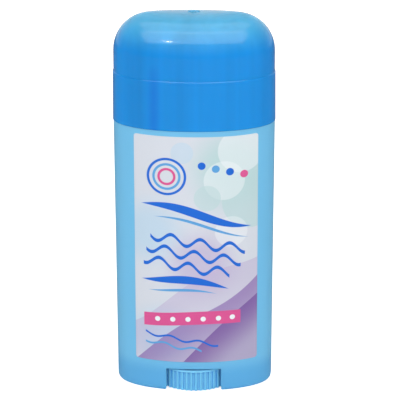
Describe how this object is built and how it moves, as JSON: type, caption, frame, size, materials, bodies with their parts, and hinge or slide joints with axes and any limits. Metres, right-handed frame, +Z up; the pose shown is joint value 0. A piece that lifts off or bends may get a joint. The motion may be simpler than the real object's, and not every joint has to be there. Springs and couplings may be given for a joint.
{
  "type": "deodorant stick",
  "caption": "Oval twist-up antiperspirant stick: rounded pull-off cap over a slim barrel, ribbed dial in the foot that turns a feed screw and lifts the wax bar.",
  "frame": {"origin": "centre of the foot, on the surface the closed stick stands on", "axes": "+Z up along the stick and the dial's axis, +X to the right seen from the front, -Y out of the labelled front"},
  "size_m": [0.058, 0.0302, 0.14],
  "materials": {
    "barrel_plastic": "light blue moulded polypropylene, soft gloss",
    "label_film": "pale printed film, satin",
    "dial_plastic": "light blue moulded polypropylene",
    "inner_plastic": "natural white polypropylene",
    "wax": "smooth opaque white wax",
    "seal_plastic": "thin white moulded cover",
    "cap_plastic": "deep blue moulded polypropylene, slightly translucent, glossy"
  },
  "bodies": {
    "pack": {"barrel": "barrel_plastic", "front_label": "label_film"},
    "dial": {"dial_screw": "dial_plastic"},
    "platform": {"carrier": "inner_plastic", "wax_bar": "wax"},
    "seal": {"seal_cover": "seal_plastic"},
    "cap": {"cap": "cap_plastic"}
  },
  "joints": [
    {"name": "dial_turn", "type": "hinge", "parent": "pack", "child": "dial", "pos_m": [0, 0, 0.0102], "axis": [0, 0, -1], "range_deg": [0, 3672]},
    {"name": "carrier_lift", "type": "slide", "parent": "pack", "child": "platform", "axis": [0, 0, 1], "range_m": [0, 0.0307]},
    {"name": "seal_pull", "type": "slide", "parent": "platform", "child": "seal", "axis": [0, 0, 1], "range_m": [0, 0.024]},
    {"name": "cap_pull", "type": "slide", "parent": "seal", "child": "cap", "axis": [0, 0, 1], "range_m": [0, 0.042]}
  ],
  "couplings": [
    {"joint": "carrier_lift", "follows": "dial_turn", "m_per_rad": 0.00047746}
  ]
}
